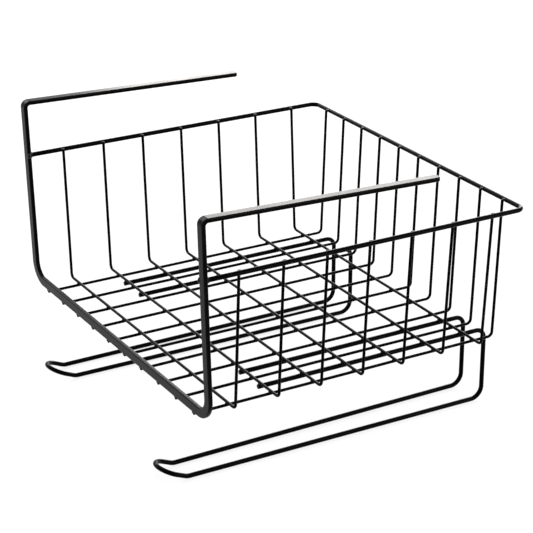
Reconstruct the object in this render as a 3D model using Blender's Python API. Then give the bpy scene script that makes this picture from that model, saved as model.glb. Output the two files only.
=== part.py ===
"""Under-shelf wire basket with a rack for a cutting board below it.

Metres, +Z up, +Y towards the back of the shelf, +X to the right as seen from the front.
The basket stands on its two rack loops, centred on the origin, as it would on a table.
Every piece is bent steel, welded to its neighbours and then coated black as one item.
"""

import math

import bmesh
import bpy
from mathutils import Vector

# Stock sizes, over the coating
MESH_WIRE_D = 0.0024
RIM_WIRE_D = 0.0038
RACK_WIRE_D = 0.0038
BAR_WIDTH = 0.0080
BAR_THICKNESS = 0.0035
BAR_EDGE_RADIUS = 0.0010

# Clearance kept between two pieces where a weld joins them
WELD_GAP = 0.0003

# Rim, measured along the wire's centre line, its depth and height from the bar and the floor
RIM_WIDTH = 0.3080
RIM_DEPTH = 0.2767
RIM_RISE = 0.1155
RIM_BEND_RADIUS = 0.0070

# Wire mesh: floor wires run front to back, cross wires run side to side on top of them
FLOOR_WIRE_COUNT = 10
FLOOR_WIRE_INSET = 0.0134
FLOOR_WIRE_SETBACK = 0.0010
CROSS_WIRE_COUNT = 7
CROSS_WIRE_FRONT_INSET = 0.0258
CROSS_WIRE_BACK_INSET = 0.0204
SIDE_SPLAY = 0.0101
BACK_SPLAY = 0.0073
MESH_BEND_RADIUS = 0.0040
MESH_END_SETBACK = 0.0012

# Hanger: a rail and two legs in one plane, and two arms that fold back over the shelf
SHELF_GAP = 0.0425
ARM_REACH = 0.1940
ARM_DROP = 0.0055
ARM_END_RADIUS = 0.0022
LEG_LEAN = 0.0045
FOLD_INNER_RADIUS = 0.0022
CORNER_INNER_RADIUS = 0.0110

# Rack: two loops of thick wire that drop behind the basket and run forwards under it
RACK_CENTRE_OFFSET = 0.0010
RACK_BACK_GAP = 0.0285
RACK_FRONT_GAP = 0.0240
RACK_BACK_REACH = 0.0041
RACK_DROP = 0.0615
RACK_END_OVERHANG = 0.0005
RACK_UPPER_BEND_RADIUS = 0.0080
RACK_LOWER_BEND_RADIUS = 0.0100
TIP_BEND_RADIUS = 0.0120
TIP_START = 0.0010
TIP_STRAIGHT = 0.0065
TIP_RISE_ANGLE = math.radians(23)

# Points on each bend and around each section
MESH_BEND_STEPS = 5
THICK_BEND_STEPS = 7
LOOP_STEPS = 16
MESH_BEVEL_RESOLUTION = 3
THICK_BEVEL_RESOLUTION = 4
EDGE_STEPS = 3
BAR_BEND_STEPS = 8

# Coating colour and finish
COAT_COLOUR = (0.011, 0.011, 0.012, 1.0)
BAR_COLOUR = (0.020, 0.020, 0.021, 1.0)
COAT_ROUGHNESS = 0.38

# The floor is the rim drawn in by the splay of the walls, and its wires are spaced evenly
FLOOR_WIDTH = RIM_WIDTH - 2 * SIDE_SPLAY
FLOOR_DEPTH = RIM_DEPTH - BACK_SPLAY
FLOOR_WIRE_PITCH = (FLOOR_WIDTH - 2 * FLOOR_WIRE_INSET) / (FLOOR_WIRE_COUNT - 1)
CROSS_WIRE_PITCH = (FLOOR_DEPTH - CROSS_WIRE_FRONT_INSET - CROSS_WIRE_BACK_INSET) / (CROSS_WIRE_COUNT - 1)

# Each rack loop straddles the second floor wire from its side
RACK_CENTRE_X = (FLOOR_WIRE_COUNT - 3) / 2 * FLOOR_WIRE_PITCH - RACK_CENTRE_OFFSET
RACK_DEPTH = FLOOR_DEPTH + RACK_BACK_REACH

# Heights that follow from the stock sizes and the rack's drop
FLOOR_Z = RACK_WIRE_D + RACK_DROP - MESH_WIRE_D / 2
CROSS_Z = FLOOR_Z + MESH_WIRE_D + WELD_GAP
RIM_Z = FLOOR_Z + RIM_RISE
MESH_TOP_Z = RIM_Z + RIM_WIRE_D / 2 - MESH_END_SETBACK
RACK_UPPER_Z = CROSS_Z - MESH_WIRE_D / 2 - WELD_GAP - RACK_WIRE_D / 2
RACK_LOWER_Z = RACK_UPPER_Z - RACK_DROP

# The shelf's gap lies between the rim and the arms
ARM_RISE = RIM_RISE + RIM_WIRE_D / 2 + SHELF_GAP + BAR_THICKNESS

# The hanger's plane leans forwards as it rises
LEAN_ANGLE = math.atan2(LEG_LEAN, ARM_RISE)
LEG_UP = Vector((0, -math.sin(LEAN_ANGLE), math.cos(LEAN_ANGLE)))
FACE_OUT = Vector((0, -math.cos(LEAN_ANGLE), -math.sin(LEAN_ANGLE)))
RAIL_Z = FLOOR_Z + MESH_WIRE_D / 2 + WELD_GAP + BAR_WIDTH / 2 * LEG_UP.z - BAR_THICKNESS * FACE_OUT.z
LEG_HALF_SPAN = RIM_WIDTH / 2

# The origin lies midway between the rack's front tips and the back of the rim
TIP_REACH = (
    (TIP_STRAIGHT + RACK_FRONT_GAP / 2) * math.cos(TIP_RISE_ANGLE)
    + TIP_BEND_RADIUS * math.tan(TIP_RISE_ANGLE / 2)
    + RACK_WIRE_D / 2
    - TIP_START
)
BACK_REACH = RIM_DEPTH + RIM_WIRE_D / 2
BAR_BACK_Y = (TIP_REACH - BACK_REACH) / 2


def clear_scene():
    for item in list(bpy.data.objects):
        bpy.data.objects.remove(item, do_unlink=True)


def coat(name, colour):
    """Black powder coat, one material for each piece."""
    material = bpy.data.materials.new(name + "_coat")
    material.use_nodes = True
    shader = material.node_tree.nodes["Principled BSDF"]
    shader.inputs["Base Color"].default_value = colour
    shader.inputs["Roughness"].default_value = COAT_ROUGHNESS
    shader.inputs["Metallic"].default_value = 0.0
    material.diffuse_color = colour
    return material


def bend_points(before, corner, after, radius, steps):
    """Points of the arc that rounds one corner of a bent wire."""
    back = (before - corner).normalized()
    ahead = (after - corner).normalized()
    half_angle = back.angle(ahead) / 2
    centre = corner + (back + ahead).normalized() * (radius / math.sin(half_angle))
    start = (corner + back * (radius / math.tan(half_angle)) - centre).normalized()
    end = (corner + ahead * (radius / math.tan(half_angle)) - centre).normalized()
    return [centre + start.slerp(end, step / steps) * radius for step in range(steps + 1)]


def rounded_path(corners, radii, steps):
    """Centre line through the corners, with each inner corner rounded to its radius."""
    points = [corners[0]]
    for index, radius in enumerate(radii, start=1):
        before, corner, after = corners[index - 1:index + 2]
        points += bend_points(before, corner, after, radius, steps)
    points.append(corners[-1])
    return points


def round_wire(name, points, diameter, resolution):
    """A bent round wire with flat cut ends."""
    curve = bpy.data.curves.new(name, "CURVE")
    curve.dimensions = "3D"
    curve.bevel_depth = diameter / 2
    curve.bevel_resolution = resolution
    curve.use_fill_caps = True
    curve.render_resolution_u = 0
    spline = curve.splines.new("POLY")
    spline.points.add(len(points) - 1)
    for target, point in zip(spline.points, points):
        target.co = (*point, 1)
    curve.materials.append(coat(name, COAT_COLOUR))
    wire = bpy.data.objects.new(name, curve)
    bpy.context.collection.objects.link(wire)
    return wire


def floor_wire(number):
    """Runs under the rail and along the floor, then turns up to the inside of the rim's back."""
    x = (number - (FLOOR_WIRE_COUNT + 1) / 2) * FLOOR_WIRE_PITCH
    front_y = BAR_BACK_Y + BAR_THICKNESS * FACE_OUT.y + FLOOR_WIRE_SETBACK
    back_y = BAR_BACK_Y + FLOOR_DEPTH
    top_y = BAR_BACK_Y + RIM_DEPTH - RIM_WIRE_D / 2 - WELD_GAP - MESH_WIRE_D / 2
    corners = [
        Vector((x, front_y, FLOOR_Z)),
        Vector((x, back_y, FLOOR_Z)),
        Vector((x, top_y, MESH_TOP_Z)),
    ]
    path = rounded_path(corners, [MESH_BEND_RADIUS], MESH_BEND_STEPS)
    return round_wire(f"floor_wire_{number}", path, MESH_WIRE_D, MESH_BEVEL_RESOLUTION)


def cross_wire(number):
    """A U that crosses the floor wires and ends against the inside of both long rim sides."""
    y = BAR_BACK_Y + CROSS_WIRE_FRONT_INSET + (number - 1) * CROSS_WIRE_PITCH
    floor_x = FLOOR_WIDTH / 2
    top_x = RIM_WIDTH / 2 - RIM_WIRE_D / 2 - WELD_GAP - MESH_WIRE_D / 2
    corners = [
        Vector((-top_x, y, MESH_TOP_Z)),
        Vector((-floor_x, y, CROSS_Z)),
        Vector((floor_x, y, CROSS_Z)),
        Vector((top_x, y, MESH_TOP_Z)),
    ]
    path = rounded_path(corners, [MESH_BEND_RADIUS] * 2, MESH_BEND_STEPS)
    return round_wire(f"cross_wire_{number}", path, MESH_WIRE_D, MESH_BEVEL_RESOLUTION)


def leg_back_y(z):
    """Where the back face of the leaning legs lies at one height."""
    return BAR_BACK_Y + (z - RAIL_Z) * LEG_UP.y / LEG_UP.z


def rim_wire():
    """A U of thicker wire whose ends butt against the backs of the two legs."""
    x = RIM_WIDTH / 2
    front_y = leg_back_y(RIM_Z - RIM_WIRE_D / 2) + WELD_GAP
    back_y = BAR_BACK_Y + RIM_DEPTH
    corners = [
        Vector((-x, front_y, RIM_Z)),
        Vector((-x, back_y, RIM_Z)),
        Vector((x, back_y, RIM_Z)),
        Vector((x, front_y, RIM_Z)),
    ]
    path = rounded_path(corners, [RIM_BEND_RADIUS] * 2, THICK_BEND_STEPS)
    return round_wire("rim_wire", path, RIM_WIRE_D, THICK_BEVEL_RESOLUTION)


def rack_side(centre_x, side):
    """Centre line of one half of a rack loop, from its upper end to the start of its tip."""
    back_x = centre_x + side * RACK_BACK_GAP / 2
    front_x = centre_x + side * RACK_FRONT_GAP / 2
    second_cross_y = BAR_BACK_Y + CROSS_WIRE_FRONT_INSET + CROSS_WIRE_PITCH
    start_y = second_cross_y - MESH_WIRE_D / 2 - RACK_END_OVERHANG
    back_y = BAR_BACK_Y + RACK_DEPTH
    tip_y = BAR_BACK_Y + TIP_START
    tip_turn = Vector((front_x, tip_y, RACK_LOWER_Z))
    tip_line = Vector((0, -math.cos(TIP_RISE_ANGLE), math.sin(TIP_RISE_ANGLE)))
    corners = [
        Vector((back_x, start_y, RACK_UPPER_Z)),
        Vector((back_x, back_y, RACK_UPPER_Z)),
        Vector((back_x, back_y, RACK_LOWER_Z)),
        tip_turn,
        tip_turn + tip_line * (TIP_BEND_RADIUS * math.tan(TIP_RISE_ANGLE / 2) + TIP_STRAIGHT),
    ]
    radii = [RACK_UPPER_BEND_RADIUS, RACK_LOWER_BEND_RADIUS, TIP_BEND_RADIUS]
    return rounded_path(corners, radii, THICK_BEND_STEPS)


def rack_wire(name, centre_x):
    """One loop of the rack: both halves and the half circle that closes its raised tip."""
    left = rack_side(centre_x, -1)
    right = rack_side(centre_x, 1)
    centre = (left[-1] + right[-1]) / 2
    outward = Vector((0, -math.cos(TIP_RISE_ANGLE), math.sin(TIP_RISE_ANGLE)))
    radius = RACK_FRONT_GAP / 2
    turn = []
    for step in range(1, LOOP_STEPS):
        angle = math.pi * step / LOOP_STEPS
        turn.append(centre + Vector((-math.cos(angle) * radius, 0, 0)) + outward * (math.sin(angle) * radius))
    return round_wire(name, left + turn + right[::-1], RACK_WIRE_D, THICK_BEVEL_RESOLUTION)


def bar_section(width):
    """Rounded rectangle of the flat bar, as offsets across its width and its thickness."""
    radius = BAR_EDGE_RADIUS
    across = width / 2 - radius
    through = BAR_THICKNESS / 2 - radius
    offsets = []
    for quarter, (side, face) in enumerate(((1, 1), (-1, 1), (-1, -1), (1, -1))):
        for step in range(EDGE_STEPS + 1):
            angle = math.pi / 2 * (quarter + step / EDGE_STEPS)
            offsets.append((
                side * across + radius * math.cos(angle),
                face * through + radius * math.sin(angle),
            ))
    return offsets


def hanger_stations():
    """Stations along the bar, each a centre, a direction along it, a face normal and a width."""
    half_width = BAR_WIDTH / 2
    rail_middle = Vector((0, BAR_BACK_Y, RAIL_Z)) + FACE_OUT * (BAR_THICKNESS / 2)
    top_z = FLOOR_Z + ARM_RISE
    leg_length = (top_z - BAR_THICKNESS / 2 - rail_middle.z) / LEG_UP.z
    side = Vector((LEG_HALF_SPAN, 0, 0))
    corner_low = rail_middle + side
    corner_high = corner_low + LEG_UP * leg_length
    arm_end = Vector((LEG_HALF_SPAN, BAR_BACK_Y + ARM_REACH, corner_high.z - ARM_DROP))

    corner_radius = CORNER_INNER_RADIUS + half_width
    fold_radius = FOLD_INNER_RADIUS + BAR_THICKNESS / 2
    low_bend = bend_points(rail_middle, corner_low, corner_high, corner_radius, BAR_BEND_STEPS)
    high_bend = bend_points(corner_low, corner_high, arm_end, fold_radius, BAR_BEND_STEPS)
    along_arm = (arm_end - corner_high).normalized()
    arm_face = along_arm.cross(Vector((-1, 0, 0)))

    stations = []
    for step, point in enumerate(low_bend):
        angle = math.pi / 2 * step / BAR_BEND_STEPS
        along = Vector((math.cos(angle), 0, 0)) + LEG_UP * math.sin(angle)
        stations.append((point, along, FACE_OUT, BAR_WIDTH))
    for step, point in enumerate(high_bend):
        along = LEG_UP.slerp(along_arm, step / BAR_BEND_STEPS)
        stations.append((point, along, FACE_OUT.slerp(arm_face, step / BAR_BEND_STEPS), BAR_WIDTH))
    for step in range(EDGE_STEPS + 1):
        angle = math.pi / 2 * step / EDGE_STEPS
        back_off = ARM_END_RADIUS * (1 - math.sin(angle))
        width = BAR_WIDTH - 2 * ARM_END_RADIUS * (1 - math.cos(angle))
        stations.append((arm_end - along_arm * back_off, along_arm, arm_face, width))
    return stations


def hanger_frame():
    """One length of flat bar, bent edgewise into a rail with two legs, then folded into two arms."""
    right = hanger_stations()
    mirror = Vector((-1, 1, 1))
    left = [(point * mirror, -along * mirror, face, width) for point, along, face, width in right]
    mesh = bmesh.new()
    rings = []
    for point, along, face, width in left[::-1] + right:
        across = along.cross(face)
        ring = [mesh.verts.new(point + across * u + face * v) for u, v in bar_section(width)]
        rings.append(ring)
    for near, far in zip(rings, rings[1:]):
        for index in range(len(near)):
            following = (index + 1) % len(near)
            mesh.faces.new((near[index], near[following], far[following], far[index]))
    mesh.faces.new(rings[0][::-1])
    mesh.faces.new(rings[-1])
    bmesh.ops.recalc_face_normals(mesh, faces=mesh.faces)
    for face in mesh.faces:
        face.smooth = len(face.verts) == 4
    data = bpy.data.meshes.new("hanger_frame")
    mesh.to_mesh(data)
    mesh.free()
    data.materials.append(coat("hanger_frame", BAR_COLOUR))
    frame = bpy.data.objects.new("hanger_frame", data)
    bpy.context.collection.objects.link(frame)
    return frame


def build():
    clear_scene()
    hanger_frame()
    rim_wire()
    for number in range(1, CROSS_WIRE_COUNT + 1):
        cross_wire(number)
    for number in range(1, FLOOR_WIRE_COUNT + 1):
        floor_wire(number)
    rack_wire("rack_wire_left", -RACK_CENTRE_X)
    rack_wire("rack_wire_right", RACK_CENTRE_X)


build()
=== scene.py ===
import math

import bmesh
import bpy
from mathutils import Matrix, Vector


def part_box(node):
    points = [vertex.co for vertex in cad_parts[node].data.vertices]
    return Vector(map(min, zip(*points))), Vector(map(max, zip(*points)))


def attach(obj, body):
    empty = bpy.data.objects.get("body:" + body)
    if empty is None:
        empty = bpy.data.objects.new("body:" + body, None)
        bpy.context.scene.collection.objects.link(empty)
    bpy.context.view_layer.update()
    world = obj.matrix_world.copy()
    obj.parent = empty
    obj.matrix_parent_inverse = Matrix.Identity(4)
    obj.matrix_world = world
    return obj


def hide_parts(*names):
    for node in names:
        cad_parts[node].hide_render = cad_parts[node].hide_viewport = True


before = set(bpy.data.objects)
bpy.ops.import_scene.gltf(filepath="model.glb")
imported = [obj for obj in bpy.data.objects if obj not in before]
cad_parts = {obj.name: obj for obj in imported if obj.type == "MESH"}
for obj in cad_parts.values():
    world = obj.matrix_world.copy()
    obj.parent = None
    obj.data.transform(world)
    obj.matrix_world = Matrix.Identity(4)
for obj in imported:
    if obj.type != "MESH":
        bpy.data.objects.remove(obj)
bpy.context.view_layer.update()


# Floor wires
# Ten straight lengths of 2.4 mm steel wire run from under the front rail to the back wall,
# where each turns up inside the rim. They are cut, bent once, welded and powder coated black.
mesh_wire_d = 0.0024
mesh_bend_radius = 0.0040
mesh_end_setback = 0.0012
mesh_end_round = 0.0004
weld_gap = 0.0003
floor_wire_count = 10
floor_back_y = 0.14029


def add_node(tree, kind, sockets=None, **settings):
    """One node with its options set and its inputs filled or linked."""
    made = tree.nodes.new(kind)
    for name, value in settings.items():
        setattr(made, name, value)
    for key, value in (sockets or {}).items():
        if isinstance(value, bpy.types.NodeSocket):
            tree.links.new(value, made.inputs[key])
        else:
            made.inputs[key].default_value = value
    return made


def calculate(tree, operation, *values):
    """A math node's result."""
    return add_node(tree, "ShaderNodeMath", dict(enumerate(values)), operation=operation).outputs[0]


def calculate_vector(tree, operation, sockets, result="Vector"):
    """A vector math node's result."""
    return add_node(tree, "ShaderNodeVectorMath", sockets, operation=operation).outputs[result]


def noise(tree, place, scale, detail):
    """A noise node's value and colour."""
    return add_node(tree, "ShaderNodeTexNoise", {"Vector": place, "Scale": scale, "Detail": detail}).outputs


def mix_colours(tree, share, first, second, blend):
    """Two colours mixed by a share. The node has other sockets of the same names, so they go by number."""
    sockets = {0: share, 6: first, 7: second}
    return add_node(tree, "ShaderNodeMix", sockets, data_type="RGBA", blend_type=blend).outputs[2]


def new_tree(name, kind, inputs, outputs):
    """A node group with its named sockets, and the values that it is given."""
    tree = bpy.data.node_groups.new(name, kind)
    for way, sockets in (("INPUT", inputs), ("OUTPUT", outputs)):
        for label, socket in sockets:
            tree.interface.new_socket(name=label, in_out=way, socket_type="NodeSocket" + socket)
    return tree, tree.nodes.new("NodeGroupInput").outputs


def powder_coat_surface():
    """Fine orange peel, slow changes of gloss, and a thinner, greyer film along worn edges."""
    grit_fineness = 3.7
    grit_in_shade = 0.5
    grit_in_height = 0.35
    cloud_in_gloss = 0.20
    peel_in_gloss = 0.14
    gloss_of_wear = 0.10
    wear_contrast = 1.6
    wear_base = 0.45
    tree, given = new_tree(
        "powder_coat_surface",
        "ShaderNodeTree",
        (
            ("Coat Colour", "Color"),
            ("Thin Coat Colour", "Color"),
            ("Gloss Loss", "Float"),
            ("Peel Size", "Float"),
            ("Cloud Size", "Float"),
            ("Edge Mask", "Float"),
        ),
        (("Colour", "Color"), ("Roughness", "Float"), ("Height", "Float")),
    )
    place = tree.nodes.new("ShaderNodeTexCoord").outputs["Object"]
    peel_scale = calculate(tree, "DIVIDE", 1.0, given["Peel Size"])
    cloud_scale = calculate(tree, "DIVIDE", 1.0, given["Cloud Size"])
    grit_scale = calculate(tree, "MULTIPLY", peel_scale, grit_fineness)
    peel = noise(tree, place, peel_scale, 2.5)["Fac"]
    grit = noise(tree, place, grit_scale, 1.0)["Fac"]
    cloud = noise(tree, place, cloud_scale, 3.0)["Fac"]

    # The film is thinnest along edges, where it goes greyer and is polished by wear.
    worn = calculate(tree, "MULTIPLY", given["Edge Mask"], calculate(tree, "POWER", cloud, wear_contrast))
    worn = calculate(tree, "MULTIPLY", worn, calculate(tree, "ADD", peel, wear_base))
    tint = mix_colours(tree, worn, given["Coat Colour"], given["Thin Coat Colour"], "MIX")
    mottle = calculate(tree, "ADD", cloud, calculate(tree, "MULTIPLY", grit, grit_in_shade))
    shade = add_node(
        tree,
        "ShaderNodeMapRange",
        {"Value": mottle, "From Min": 0.35, "From Max": 1.15, "To Min": 0.80, "To Max": 1.25},
    ).outputs[0]
    grey = add_node(tree, "ShaderNodeCombineColor", {0: shade, 1: shade, 2: shade}).outputs[0]
    colour = mix_colours(tree, 1.0, tint, grey, "MULTIPLY")

    cloud_part = calculate(tree, "MULTIPLY", calculate(tree, "SUBTRACT", cloud, 0.5), cloud_in_gloss)
    peel_part = calculate(tree, "MULTIPLY", calculate(tree, "SUBTRACT", peel, 0.5), peel_in_gloss)
    rough = calculate(tree, "ADD", given["Gloss Loss"], calculate(tree, "ADD", cloud_part, peel_part))
    rough = calculate(tree, "SUBTRACT", rough, calculate(tree, "MULTIPLY", worn, gloss_of_wear))
    height = calculate(tree, "ADD", peel, calculate(tree, "MULTIPLY", grit, grit_in_height))
    add_node(tree, "NodeGroupOutput", {"Colour": colour, "Roughness": rough, "Height": height})
    return tree


coat_surface = powder_coat_surface()


def black_powder_coat(name, colour, thin_colour, gloss_loss, shine, face_on_shine, peel_size, peel_depth):
    """Satin black powder coat with its own grain and gloss, far glossier at a low angle than face on."""
    material = bpy.data.materials.new(name)
    material.use_nodes = True
    tree = material.node_tree
    shader = tree.nodes["Principled BSDF"]
    shader.inputs["Metallic"].default_value = 0.0
    shader.inputs["IOR"].default_value = 1.50
    shader.inputs["Specular IOR Level"].default_value = shine
    shader.inputs["Specular Tint"].default_value = (face_on_shine, face_on_shine, face_on_shine, 1.0)
    edge = add_node(tree, "ShaderNodeAttribute", attribute_name="edge")
    coat = add_node(
        tree,
        "ShaderNodeGroup",
        {
            "Coat Colour": (*colour, 1.0),
            "Thin Coat Colour": (*thin_colour, 1.0),
            "Gloss Loss": gloss_loss,
            "Peel Size": peel_size,
            "Cloud Size": 0.022,
            "Edge Mask": edge.outputs["Fac"],
        },
        node_tree=coat_surface,
    )
    grain = {"Distance": peel_depth, "Strength": 0.6, "Height": coat.outputs["Height"]}
    bump = add_node(tree, "ShaderNodeBump", grain)
    tree.links.new(coat.outputs["Colour"], shader.inputs["Base Color"])
    tree.links.new(coat.outputs["Roughness"], shader.inputs["Roughness"])
    tree.links.new(bump.outputs["Normal"], shader.inputs["Normal"])
    return material


def end_tree(tree, geometry, coat):
    """Every tree ends in smooth shading, plain geometry and the coat."""
    geometry = add_node(tree, "GeometryNodeSetShadeSmooth", {"Geometry": geometry, "Shade Smooth": True})
    geometry = add_node(tree, "GeometryNodeRealizeInstances", {"Geometry": geometry.outputs[0]})
    geometry = add_node(tree, "GeometryNodeSetMaterial", {"Geometry": geometry.outputs[0], "Material": coat})
    tree.links.new(geometry.outputs[0], tree.nodes.new("NodeGroupOutput").inputs[0])


def wire_bender():
    """Rounds the corners of a guide, repeats it at a spacing and gives it the wire's thickness."""
    end_fullness = 0.55
    waver_scale = 11.0
    tree, given = new_tree(
        "bent_wire_row",
        "GeometryNodeTree",
        (
            ("Geometry", "Geometry"),
            ("Wire Diameter", "Float"),
            ("Sides", "Int"),
            ("Bend Steps", "Int"),
            ("Longest Piece", "Float"),
            ("End Round", "Float"),
            ("Count", "Int"),
            ("Spacing", "Vector"),
            ("Waver", "Float"),
            ("Coat", "Material"),
        ),
        (("Geometry", "Geometry"),),
    )
    guide = add_node(tree, "GeometryNodeMeshToCurve", {"Mesh": given["Geometry"]}).outputs[0]
    bend = add_node(
        tree,
        "GeometryNodeInputNamedAttribute",
        {"Name": "bend_radius"},
        data_type="FLOAT",
    ).outputs[0]
    bent = add_node(
        tree,
        "GeometryNodeFilletCurve",
        {"Curve": guide, "Count": given["Bend Steps"], "Radius": bend, "Limit Radius": True},
        mode="POLY",
    ).outputs[0]

    # Straight runs are cut into shorter pieces, so that they can waver.
    here = tree.nodes.new("GeometryNodeInputPosition").outputs[0]
    following = calculate(tree, "ADD", tree.nodes.new("GeometryNodeInputIndex").outputs[0], 1.0)
    there = add_node(
        tree,
        "GeometryNodeFieldAtIndex",
        {"Index": following, "Value": here},
        data_type="FLOAT_VECTOR",
        domain="POINT",
    ).outputs[0]
    run = calculate_vector(tree, "DISTANCE", {0: here, 1: there}, "Value")
    cuts = calculate(tree, "FLOOR", calculate(tree, "DIVIDE", run, given["Longest Piece"]))
    fine = add_node(tree, "GeometryNodeSubdivideCurve", {"Curve": bent, "Cuts": cuts}).outputs[0]

    spacing = {"Count": given["Count"], "Offset": given["Spacing"]}
    places = add_node(tree, "GeometryNodeMeshLine", spacing, mode="OFFSET").outputs[0]
    row = add_node(tree, "GeometryNodeInstanceOnPoints", {"Points": places, "Instance": fine}).outputs[0]
    row = add_node(tree, "GeometryNodeRealizeInstances", {"Geometry": row}).outputs[0]

    # Wire off a coil is never quite straight, so each place drifts by a fraction of a millimetre.
    drift = noise(tree, here, waver_scale, 1.0)["Color"]
    drift = calculate_vector(tree, "SUBTRACT", {0: drift, 1: (0.5, 0.5, 0.5)})
    drift = calculate_vector(tree, "SCALE", {0: drift, "Scale": given["Waver"]})
    row = add_node(tree, "GeometryNodeSetPosition", {"Geometry": row, "Offset": drift}).outputs[0]

    # Towards its cut ends the wire thins to a soft edge, where the coat is thinner too.
    along = tree.nodes.new("GeometryNodeSplineParameter").outputs["Length"]
    whole = tree.nodes.new("GeometryNodeSplineLength").outputs["Length"]
    to_end = calculate(tree, "MINIMUM", along, calculate(tree, "SUBTRACT", whole, along))
    share = calculate(tree, "DIVIDE", to_end, given["End Round"])
    share = calculate(tree, "MINIMUM", calculate(tree, "MAXIMUM", share, 0.0), 1.0)
    rest = calculate(tree, "SUBTRACT", 2.0, share)
    swell = calculate(tree, "SQRT", calculate(tree, "MULTIPLY", share, rest))
    fullness = calculate(tree, "ADD", end_fullness, calculate(tree, "MULTIPLY", swell, 1.0 - end_fullness))
    row = add_node(
        tree,
        "GeometryNodeStoreNamedAttribute",
        {"Geometry": row, "Name": "edge", "Value": calculate(tree, "SUBTRACT", 1.0, share)},
        data_type="FLOAT",
        domain="POINT",
    ).outputs[0]
    circle = {"Resolution": given["Sides"], "Radius": calculate(tree, "DIVIDE", given["Wire Diameter"], 2.0)}
    ring = add_node(tree, "GeometryNodeCurvePrimitiveCircle", circle, mode="RADIUS").outputs[0]
    wire = add_node(
        tree,
        "GeometryNodeCurveToMesh",
        {"Curve": row, "Profile Curve": ring, "Scale": fullness, "Fill Caps": True},
    ).outputs[0]
    end_tree(tree, wire, given["Coat"])
    return tree


wire_row = wire_bender()


def wire_guide(name, corners, radii, end_round):
    """The wire's corners with the radius of each bend, and close steps where its cut ends are rounded."""
    mesh = bpy.data.meshes.new(name)
    points = [Vector(corner) for corner in corners]
    bends = [0.0, *radii, 0.0]
    # The list is turned round after each end, so both ends get their steps.
    for _ in range(2):
        inward = (points[1] - points[0]).normalized()
        depths = [end_round * (1 - math.cos(math.radians(turn))) for turn in (30, 60, 90)]
        points[1:1] = [points[0] + inward * depth for depth in depths]
        bends[1:1] = [0.0] * len(depths)
        points.reverse()
        bends.reverse()
    mesh.from_pydata(points, [(i, i + 1) for i in range(len(points) - 1)], [])
    layer = mesh.attributes.new("bend_radius", "FLOAT", "POINT")
    for item, bend in zip(layer.data, bends):
        item.value = bend
    return mesh


def seat(name, mesh, nodes):
    """Puts a finished mesh in the frame, in place of its nodes if it has any."""
    piece = bpy.data.objects.new(name, mesh)
    bpy.context.collection.objects.link(piece)
    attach(piece, "root")
    if nodes:
        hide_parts(*nodes)


def make(name, guide_mesh, tree, settings, nodes=()):
    """Runs a tree on its guide, keeps the result as a plain mesh and seats it in the frame."""
    guide = bpy.data.objects.new(name + "_guide", guide_mesh)
    bpy.context.collection.objects.link(guide)
    modifier = guide.modifiers.new(name, "NODES")
    modifier.node_group = tree
    sockets = {s.name: s.identifier for s in tree.interface.items_tree if s.in_out == "INPUT"}
    for label, value in settings.items():
        modifier[sockets[label]] = value
    evaluated = guide.evaluated_get(bpy.context.evaluated_depsgraph_get())
    mesh = bpy.data.meshes.new_from_object(evaluated)
    guide.modifiers.remove(modifier)
    bpy.data.objects.remove(guide, do_unlink=True)
    mesh.name = name
    seat(name, mesh, nodes)


mesh_coat = black_powder_coat(
    "black_coat_on_thin_wire",
    colour=(0.0010, 0.0010, 0.0011),
    thin_colour=(0.016, 0.0155, 0.015),
    gloss_loss=0.16,
    shine=0.035,
    face_on_shine=0.08,
    peel_size=0.0016,
    peel_depth=0.000003,
)
thin_wire = {
    "Wire Diameter": mesh_wire_d,
    "Sides": 16,
    "Bend Steps": 10,
    "Longest Piece": 0.012,
    "End Round": mesh_end_round,
    "Waver": 0.0004,
    "Coat": mesh_coat,
}

first_low, first_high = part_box("floor_wire_1")
second_low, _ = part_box("floor_wire_2")
cross_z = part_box("rack_wire_left")[1].z + weld_gap + mesh_wire_d / 2
floor_z = cross_z - mesh_wire_d - weld_gap
mesh_top_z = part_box("rim_wire")[1].z - mesh_end_setback
floor_front_y = first_low.y
floor_x = (first_low.x + first_high.x) / 2
floor_pitch = second_low.x - first_low.x
back_wall_top_y = first_high.y - mesh_wire_d / 2
floor_wire_corners = [
    (floor_x, floor_front_y, floor_z),
    (floor_x, floor_back_y, floor_z),
    (floor_x, back_wall_top_y, mesh_top_z),
]
make(
    "floor_wires",
    wire_guide("floor_wire_guide", floor_wire_corners, [mesh_bend_radius], mesh_end_round),
    wire_row,
    {**thin_wire, "Count": floor_wire_count, "Spacing": (floor_pitch, 0.0, 0.0)},
    [f"floor_wire_{number + 1}" for number in range(floor_wire_count)],
)


# Cross wires
# Seven wires of the same 2.4 mm stock are bent into wide Us and lie on top of the floor wires.
# Their ends reach up inside both long sides of the rim.
cross_wire_count = 7
cross_floor_x = 0.1439
first_low, first_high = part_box("cross_wire_1")
second_low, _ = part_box("cross_wire_2")
cross_y = (first_low.y + first_high.y) / 2
cross_pitch = second_low.y - first_low.y
cross_top_x = first_high.x - mesh_wire_d / 2
cross_wire_corners = [
    (-cross_top_x, cross_y, mesh_top_z),
    (-cross_floor_x, cross_y, cross_z),
    (cross_floor_x, cross_y, cross_z),
    (cross_top_x, cross_y, mesh_top_z),
]
make(
    "cross_wires",
    wire_guide("cross_wire_guide", cross_wire_corners, [mesh_bend_radius] * 2, mesh_end_round),
    wire_row,
    {**thin_wire, "Count": cross_wire_count, "Spacing": (0.0, cross_pitch, 0.0)},
    [f"cross_wire_{number + 1}" for number in range(cross_wire_count)],
)


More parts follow.
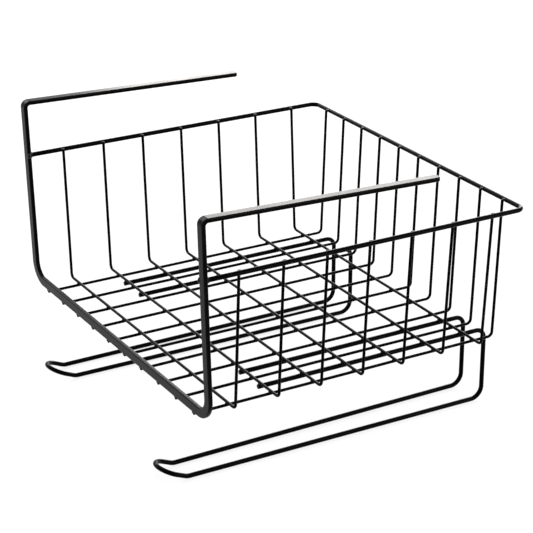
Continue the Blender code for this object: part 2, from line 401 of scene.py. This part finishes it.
# Mesh welds
# Each crossing is spot welded, which squeezes a little steel out between the two wires.
# The coat flows round it, so it shows as a small soft lump in the corner of the crossing.
def weld_setter():
    """Puts a squashed, slightly uneven nugget on every point of a guide."""
    tree, given = new_tree(
        "weld_spots",
        "GeometryNodeTree",
        (
            ("Geometry", "Geometry"),
            ("Half Size", "Vector"),
            ("Size Variation", "Float"),
            ("Seed", "Int"),
            ("Coat", "Material"),
        ),
        (("Geometry", "Geometry"),),
    )
    ball = {"Segments": 12, "Rings": 6, "Radius": 1.0}
    nugget = add_node(tree, "GeometryNodeMeshUVSphere", ball).outputs[0]
    least = calculate(tree, "SUBTRACT", 1.0, given["Size Variation"])
    most = calculate(tree, "ADD", 1.0, given["Size Variation"])
    low = add_node(tree, "ShaderNodeCombineXYZ", {0: least, 1: least, 2: least}).outputs[0]
    high = add_node(tree, "ShaderNodeCombineXYZ", {0: most, 1: most, 2: most}).outputs[0]
    uneven = add_node(
        tree,
        "FunctionNodeRandomValue",
        {0: low, 1: high, "Seed": given["Seed"]},
        data_type="FLOAT_VECTOR",
    ).outputs[0]
    size = calculate_vector(tree, "MULTIPLY", {0: uneven, 1: given["Half Size"]})
    spots = add_node(
        tree,
        "GeometryNodeInstanceOnPoints",
        {"Points": given["Geometry"], "Instance": nugget, "Scale": size},
    ).outputs[0]
    end_tree(tree, spots, given["Coat"])
    return tree


weld_spots = weld_setter()
weld_coat = black_powder_coat(
    "black_coat_on_welds",
    colour=(0.0026, 0.0026, 0.0027),
    thin_colour=(0.016, 0.0155, 0.015),
    gloss_loss=0.30,
    shine=0.16,
    face_on_shine=0.50,
    peel_size=0.0012,
    peel_depth=0.000006,
)


def weld(name, places, half_size, variation, seed):
    """One nugget of weld metal at each place, all of them one piece."""
    guide_mesh = bpy.data.meshes.new(name + "_guide")
    guide_mesh.from_pydata(places, [], [])
    settings = {"Half Size": half_size, "Size Variation": variation, "Seed": seed, "Coat": weld_coat}
    make(name, guide_mesh, weld_spots, settings)


floor_wire_xs = [floor_x + number * floor_pitch for number in range(floor_wire_count)]
cross_wire_ys = [cross_y + number * cross_pitch for number in range(cross_wire_count)]
crossing_z = (floor_z + cross_z) / 2
weld(
    "mesh_welds",
    [(x, y, crossing_z) for x in floor_wire_xs for y in cross_wire_ys],
    half_size=(0.00140, 0.00140, 0.00095),
    variation=0.14,
    seed=4,
)


# Rim
# One length of 3.8 mm wire is bent into a U that runs round the two long sides and the back.
# Its inner side is welded to the ends of the mesh wires, which stop a little above its middle.
rim_wire_d = 0.0038
rim_bend_radius = 0.0070
rim_end_round = 0.0003
rim_weld_lift = 0.0006
rim_low, rim_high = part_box("rim_wire")
rim_x = rim_high.x - rim_wire_d / 2
rim_back_y = rim_high.y - rim_wire_d / 2
rim_front_y = rim_low.y
rim_z = (rim_low.z + rim_high.z) / 2
rim_coat = black_powder_coat(
    "black_coat_on_rim_wire",
    colour=(0.0010, 0.0010, 0.0011),
    thin_colour=(0.017, 0.0165, 0.016),
    gloss_loss=0.20,
    shine=0.05,
    face_on_shine=0.10,
    peel_size=0.0018,
    peel_depth=0.000004,
)
thick_wire = {"Sides": 24, "Bend Steps": 16, "Longest Piece": 0.020, "Waver": 0.0}
rim_corners = [
    (-rim_x, rim_front_y, rim_z),
    (-rim_x, rim_back_y, rim_z),
    (rim_x, rim_back_y, rim_z),
    (rim_x, rim_front_y, rim_z),
]
make(
    "rim",
    wire_guide("rim_guide", rim_corners, [rim_bend_radius] * 2, rim_end_round),
    wire_row,
    {
        **thick_wire,
        "Wire Diameter": rim_wire_d,
        "End Round": rim_end_round,
        "Count": 1,
        "Spacing": (0.0, 0.0, 0.0),
        "Coat": rim_coat,
    },
    ["rim_wire"],
)

rim_inner_x = rim_x - rim_wire_d / 2 - weld_gap / 2
rim_inner_y = rim_back_y - rim_wire_d / 2 - weld_gap / 2
rim_weld_z = rim_z + rim_weld_lift
weld(
    "rim_side_welds",
    [(side * rim_inner_x, y, rim_weld_z) for side in (-1, 1) for y in cross_wire_ys],
    half_size=(0.00150, 0.00170, 0.00100),
    variation=0.12,
    seed=7,
)
weld(
    "rim_back_welds",
    [(x, rim_inner_y, rim_weld_z) for x in floor_wire_xs],
    half_size=(0.00170, 0.00150, 0.00100),
    variation=0.12,
    seed=9,
)


# Board rack
# Two hairpin loops of 3.8 mm wire hang below the floor. Each is welded under the cross wires,
# drops behind the basket, runs back to the front and ends in a raised, rounded tip.
rack_wire_d = 0.0038
rack_upper_bend = 0.0080
rack_lower_bend = 0.0100
rack_tip_bend = 0.0120
rack_back_gap = 0.0285
rack_front_gap = 0.0240
rack_end_round = 0.0004
rack_end_overhang = 0.0005
rack_tip_rise = math.radians(23)
rack_tip_turn_y = -0.12811
rack_low, rack_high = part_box("rack_wire_left")
right_low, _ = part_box("rack_wire_right")
rack_x = (rack_low.x + rack_high.x) / 2
rack_spread = right_low.x - rack_low.x
rack_back_y = rack_high.y - rack_wire_d / 2
rack_upper_z = rack_high.z - rack_wire_d / 2
rack_lower_z = rack_low.z + rack_wire_d / 2
rack_end_y = cross_wire_ys[1] - mesh_wire_d / 2 - rack_end_overhang
tip_reach = rack_low.y + rack_wire_d / 2
tip_run = (rack_tip_turn_y - tip_reach) / math.cos(rack_tip_rise)
tip_z = rack_lower_z + tip_run * math.sin(rack_tip_rise)
rack_coat = black_powder_coat(
    "black_coat_on_rack_wire",
    colour=(0.0010, 0.0010, 0.0011),
    thin_colour=(0.017, 0.0165, 0.016),
    gloss_loss=0.18,
    shine=0.06,
    face_on_shine=0.08,
    peel_size=0.0018,
    peel_depth=0.000004,
)


def rack_half(side):
    """Corners of one half of a loop, from its upper end to the corner of its tip."""
    back_x = rack_x + side * rack_back_gap / 2
    front_x = rack_x + side * rack_front_gap / 2
    return [
        (back_x, rack_end_y, rack_upper_z),
        (back_x, rack_back_y, rack_upper_z),
        (back_x, rack_back_y, rack_lower_z),
        (front_x, rack_tip_turn_y, rack_lower_z),
        (front_x, tip_reach, tip_z),
    ]


rack_corners = rack_half(-1) + rack_half(1)[::-1]
half_radii = [rack_upper_bend, rack_lower_bend, rack_tip_bend, rack_front_gap / 2]
make(
    "rack_loops",
    wire_guide("rack_guide", rack_corners, half_radii + half_radii[::-1], rack_end_round),
    wire_row,
    {
        **thick_wire,
        "Wire Diameter": rack_wire_d,
        "End Round": rack_end_round,
        "Count": 2,
        "Spacing": (rack_spread, 0.0, 0.0),
        "Coat": rack_coat,
    },
    ["rack_wire_left", "rack_wire_right"],
)

rack_weld_z = cross_z - mesh_wire_d / 2 - weld_gap / 2
rack_weld_xs = [
    rack_x + loop * rack_spread + side * rack_back_gap / 2
    for loop in (0, 1)
    for side in (-1, 1)
]
weld(
    "rack_welds",
    [(x, y, rack_weld_z) for x in rack_weld_xs for y in cross_wire_ys[1:]],
    half_size=(0.00165, 0.00150, 0.00090),
    variation=0.12,
    seed=3,
)


# Hanger
# One length of 8 x 3.5 mm flat bar is bent edgewise into the front rail and two legs, and each leg
# is folded flatwise at the top into an arm. The arms lie on the shelf and press down on it.
bar_width = 0.0080
bar_thickness = 0.0035
bar_edge_radius = 0.0010
bar_edge_steps = 8
bar_flat_margin = 0.0001
bar_back_y = -0.1291146
corner_inner_radius = 0.0110
corner_steps = 24
fold_inner_radius = 0.0022
fold_steps = 16
rail_sections = 19
leg_sections = 9
arm_sections = 12
arm_end_radius = 0.0022
arm_end_steps = 8
arm_reach = 0.1940
arm_drop = 0.0055
arm_rise = 0.1634
lean_at_arm = 0.0045
leg_lean = math.atan2(lean_at_arm, arm_rise)
leg_up = Vector((0, -math.sin(leg_lean), math.cos(leg_lean)))
face_out = Vector((0, -math.cos(leg_lean), -math.sin(leg_lean)))
leg_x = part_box("hanger_frame")[1].x - bar_width / 2
rail_back_z = floor_z + mesh_wire_d / 2 + weld_gap + bar_width / 2 * leg_up.z - bar_thickness * face_out.z
rail_middle = Vector((0, bar_back_y, rail_back_z)) + face_out * (bar_thickness / 2)
arm_z = floor_z + arm_rise - bar_thickness / 2


def bend_stations(before, corner, after, radius, steps):
    """Centres and directions along the arc that rounds one bend."""
    inward = (before - corner).normalized()
    onward = (after - corner).normalized()
    half_angle = inward.angle(onward) / 2
    centre = corner + (inward + onward).normalized() * (radius / math.sin(half_angle))
    start = (corner + inward * (radius / math.tan(half_angle)) - centre).normalized()
    end = (corner + onward * (radius / math.tan(half_angle)) - centre).normalized()
    return [
        (centre + start.slerp(end, step / steps) * radius, (-inward).slerp(onward, step / steps))
        for step in range(steps + 1)
    ]


def straight_stations(start, end, along, face, count):
    """Full sections of the bar at even steps between two points, without the points themselves."""
    places = [start.lerp(end, step / (count + 1)) for step in range(1, count + 1)]
    return [(place, along, face, bar_width) for place in places]


def set_back(point, quarters):
    """A point on the flat beside an arc's end, which keeps the flat's shading flat."""
    turn = math.pi / 2 * quarters
    return (point[0] + bar_flat_margin * math.cos(turn), point[1] + bar_flat_margin * math.sin(turn), 0.0)


def bar_outline(width):
    """Rounded rectangle of the bar as offsets across and through it, with how exposed each is."""
    across = width / 2 - bar_edge_radius
    through = bar_thickness / 2 - bar_edge_radius
    outline = []
    for quarter, (side, face) in enumerate(((1, 1), (-1, 1), (-1, -1), (1, -1))):
        arc = []
        for step in range(bar_edge_steps + 1):
            angle = math.pi / 2 * (quarter + step / bar_edge_steps)
            arc.append((
                side * across + bar_edge_radius * math.cos(angle),
                face * through + bar_edge_radius * math.sin(angle),
                math.sin(math.pi * step / bar_edge_steps),
            ))
        outline.append(set_back(arc[0], quarter - 1))
        outline += arc
        outline.append(set_back(arc[-1], quarter + 2))
    return outline


def bar_stations():
    """Centre, direction, face and width of every section of the bar, from one arm's end to the other's."""
    right = Vector((1, 0, 0))
    mirror = Vector((-1, 1, 1))
    corner_low = rail_middle + right * leg_x
    corner_high = corner_low + leg_up * ((arm_z - rail_middle.z) / leg_up.z)
    arm_end = Vector((leg_x, bar_back_y + arm_reach, corner_high.z - arm_drop))
    along_arm = (arm_end - corner_high).normalized()
    arm_face = along_arm.cross(-right)
    corner_radius = corner_inner_radius + bar_width / 2
    fold_radius = fold_inner_radius + bar_thickness / 2
    low = bend_stations(rail_middle, corner_low, corner_high, corner_radius, corner_steps)
    high = bend_stations(corner_low, corner_high, arm_end, fold_radius, fold_steps)

    side = [(point, along, face_out, bar_width) for point, along in low]
    side += straight_stations(low[-1][0], high[0][0], leg_up, face_out, leg_sections)
    for step, (point, along) in enumerate(high):
        turned = face_out.slerp(arm_face, step / fold_steps)
        side.append((point, along, turned, bar_width))
    rounding_start = arm_end - along_arm * arm_end_radius
    side += straight_stations(high[-1][0], rounding_start, along_arm, arm_face, arm_sections)
    for step in range(arm_end_steps + 1):
        angle = math.pi / 2 * step / arm_end_steps
        back_off = arm_end_radius * (1 - math.sin(angle))
        width = bar_width - 2 * arm_end_radius * (1 - math.cos(angle))
        side.append((arm_end - along_arm * back_off, along_arm, arm_face, width))

    middle = straight_stations(low[0][0] * mirror, low[0][0], right, face_out, rail_sections)
    other = [(point * mirror, -along * mirror, face, width) for point, along, face, width in side]
    return other[::-1] + middle + side


def skin(work, rings):
    """Faces from each ring of points to the next, and one face on each end."""
    for near, far in zip(rings, rings[1:]):
        for index in range(len(near)):
            following = (index + 1) % len(near)
            work.faces.new((near[index], near[following], far[following], far[index]))
    work.faces.new(rings[0])
    work.faces.new(rings[-1])


def finish_mesh(work, name, coat):
    """Faces turned outwards, all smooth but the flat ends, as a coated mesh."""
    bmesh.ops.recalc_face_normals(work, faces=work.faces)
    for face in work.faces:
        face.smooth = len(face.verts) == 4
    mesh = bpy.data.meshes.new(name)
    work.to_mesh(mesh)
    work.free()
    mesh.materials.append(coat)
    return mesh


def hanger_mesh():
    """Sweeps the bar's outline along the rail, legs and arms."""
    work = bmesh.new()
    edge = work.verts.layers.float.new("edge")
    rings = []
    for point, along, face, width in bar_stations():
        across = along.cross(face)
        ring = []
        for u, v, exposed in bar_outline(width):
            vertex = work.verts.new(point + across * u + face * v)
            vertex[edge] = exposed
            ring.append(vertex)
        rings.append(ring)
    skin(work, rings)
    return finish_mesh(work, "hanger", bar_coat)


bar_coat = black_powder_coat(
    "black_coat_on_flat_bar",
    colour=(0.0011, 0.0010, 0.0010),
    thin_colour=(0.012, 0.0115, 0.011),
    gloss_loss=0.26,
    shine=0.075,
    face_on_shine=0.10,
    peel_size=0.0016,
    peel_depth=0.000006,
)
seat("hanger", hanger_mesh(), ["hanger_frame"])
weld(
    "rail_welds",
    [(x, rail_middle.y, floor_z + mesh_wire_d / 2) for x in floor_wire_xs],
    half_size=(0.00150, 0.00165, 0.00080),
    variation=0.14,
    seed=6,
)


# Leg welds
# The rim's two cut ends butt against the backs of the legs and are welded all round by hand.
# Each weld is a lumpy ring between wire and bar, with a dab of metal run on to the leg's inner side.
bead_length = 0.0026
bead_reach = 0.0033
bead_tallness = 1.08
bead_least_reach = rim_wire_d * 0.52
bead_sides = 36
bead_profile = (
    (0.00, 1.00),
    (0.10, 0.985),
    (0.22, 0.93),
    (0.36, 0.84),
    (0.52, 0.74),
    (0.70, 0.66),
    (0.88, 0.61),
    (1.00, 0.57),
)
broad_ripples = 5
broad_ripple_depth = 0.05
broad_ripple_twist = 7
fine_ripples = 11
fine_ripple_depth = 0.035
dab_stand_out = 0.0002
dab_set_back = 0.0011
dab_lift = 0.0008
leg_front_y = bar_back_y + (rim_z - rail_back_z) * leg_up.y / leg_up.z - bar_thickness
leg_back_y = leg_front_y + bar_thickness


def bead_ring(work, side, along, wide):
    """One ring of a bead, with the ripple of a hand-run weld."""
    ring = []
    for step in range(bead_sides):
        angle = 2 * math.pi * step / bead_sides
        broad = math.sin(broad_ripples * angle + broad_ripple_twist * along)
        fine = math.sin(fine_ripples * angle + side)
        ripple = 1 + broad_ripple_depth * (1 - along) * broad + fine_ripple_depth * fine
        reach = max(bead_reach * wide * ripple, bead_least_reach)
        ring.append(work.verts.new((
            side * rim_x + math.cos(angle) * reach,
            leg_back_y - weld_gap / 2 + along * bead_length,
            rim_z + math.sin(angle) * reach * bead_tallness,
        )))
    return ring


def leg_bead_mesh():
    """On both sides, rings that shrink from the bar to the wire."""
    work = bmesh.new()
    for side in (-1, 1):
        skin(work, [bead_ring(work, side, along, wide) for along, wide in bead_profile])
    return finish_mesh(work, "leg_beads", bar_coat)


seat("leg_beads", leg_bead_mesh(), [])
dab_x = leg_x - bar_width / 2 - dab_stand_out
dab_y = leg_front_y + dab_set_back
weld(
    "leg_dabs",
    [(side * dab_x, dab_y, rim_z - side * dab_lift) for side in (-1, 1)],
    half_size=(0.00165, 0.00170, 0.00260),
    variation=0.06,
    seed=2,
)


# Stage
# The basket stands on a wide pale floor that reads white and keeps a faint shadow.
# A broad soft panel behind it skims the tops of the bars and wires, and four others
# fill from above, in front and both sides.
floor_half = 6.0
floor_top_z = -0.0002
floor_whiteness = 0.82
room_light_level = 0.45
panel_aim = Vector((0.0, 0.0, 0.12))
white = (1.0, 1.0, 1.0)


def seen_directly(tree):
    """1 for what the camera sees, also by gloss or through glass, and 0 for light on its way."""
    path = tree.nodes.new("ShaderNodeLightPath").outputs
    seen = calculate(tree, "MAXIMUM", path["Is Camera Ray"], path["Is Glossy Ray"])
    return calculate(tree, "MAXIMUM", seen, path["Is Transmission Ray"])


def pale_floor():
    """Pale paper that looks nearly pure white where it is seen."""
    material = bpy.data.materials.new("pale_floor")
    material.use_nodes = True
    tree = material.node_tree
    tree.nodes.clear()
    paper = add_node(tree, "ShaderNodeBsdfDiffuse", {"Color": (0.94, 0.94, 0.94, 1.0)}).outputs[0]
    glow = add_node(tree, "ShaderNodeEmission", {"Color": (*white, 1.0), "Strength": 1.0}).outputs[0]
    share = calculate(tree, "MULTIPLY", seen_directly(tree), floor_whiteness)
    both = add_node(tree, "ShaderNodeMixShader", {0: share, 1: paper, 2: glow}).outputs[0]
    add_node(tree, "ShaderNodeOutputMaterial", {"Surface": both})
    return material


floor_sides = ((-1, -1), (1, -1), (1, 1), (-1, 1))
floor_mesh = bpy.data.meshes.new("floor")
floor_mesh.from_pydata(
    [(x * floor_half, y * floor_half, floor_top_z) for x, y in floor_sides],
    [],
    [(0, 1, 2, 3)],
)
floor_mesh.materials.append(pale_floor())
floor = bpy.data.objects.new("floor", floor_mesh)
bpy.context.collection.objects.link(floor)

world = bpy.data.worlds.new("soft_room")
world.use_nodes = True
bpy.context.scene.world = world
room = world.node_tree
room.nodes.clear()
room_level = add_node(
    room,
    "ShaderNodeMapRange",
    {
        "Value": seen_directly(room),
        "From Min": 0.0,
        "From Max": 1.0,
        "To Min": room_light_level,
        "To Max": 1.0,
    },
).outputs[0]
room_light = add_node(
    room,
    "ShaderNodeBackground",
    {"Color": (*white, 1.0), "Strength": room_level},
).outputs[0]
add_node(room, "ShaderNodeOutputWorld", {"Surface": room_light})


def soft_panel(name, place, width, height, level, colour):
    """A rectangular softbox aimed at the basket, whose face has the given brightness."""
    lamp = bpy.data.lights.new(name, "AREA")
    lamp.shape = "RECTANGLE"
    lamp.size = width
    lamp.size_y = height
    lamp.energy = level * math.pi * width * height
    lamp.color = colour
    panel = bpy.data.objects.new(name, lamp)
    panel.location = place
    panel.rotation_euler = (panel_aim - Vector(place)).to_track_quat("-Z", "Y").to_euler()
    bpy.context.collection.objects.link(panel)


soft_panel("back_panel", (-1.08, 1.002, 0.72), 1.17, 0.70, 9.0, (1.0, 0.975, 0.95))
soft_panel("top_panel", (0.2, -0.2, 2.0), 1.2, 1.2, 2.5, white)
soft_panel("front_panel", (-0.9, -2.2, 1.3), 1.8, 1.0, 5.0, white)
soft_panel("side_panel", (1.60, 0.92, 0.55), 0.9, 1.0, 9.0, white)
soft_panel("left_panel", (-2.0, -0.4, 1.45), 1.5, 0.8, 6.0, white)

camera_data = bpy.data.cameras.new("camera")
camera_data.lens = 126.56
camera_data.sensor_width = 36.0
camera_data.clip_start = 0.05
camera_data.clip_end = 50.0
camera = bpy.data.objects.new("camera", camera_data)
camera.location = (1.22342, -0.70378, 0.69769)
look_azimuth = math.radians(149.855)
look_down = math.radians(22.72)
look = Vector((
    math.cos(look_down) * math.cos(look_azimuth),
    math.cos(look_down) * math.sin(look_azimuth),
    -math.sin(look_down),
))
camera.rotation_euler = look.to_track_quat("-Z", "Y").to_euler()
bpy.context.collection.objects.link(camera)
bpy.context.scene.camera = camera
bpy.context.scene.view_settings.view_transform = "Standard"
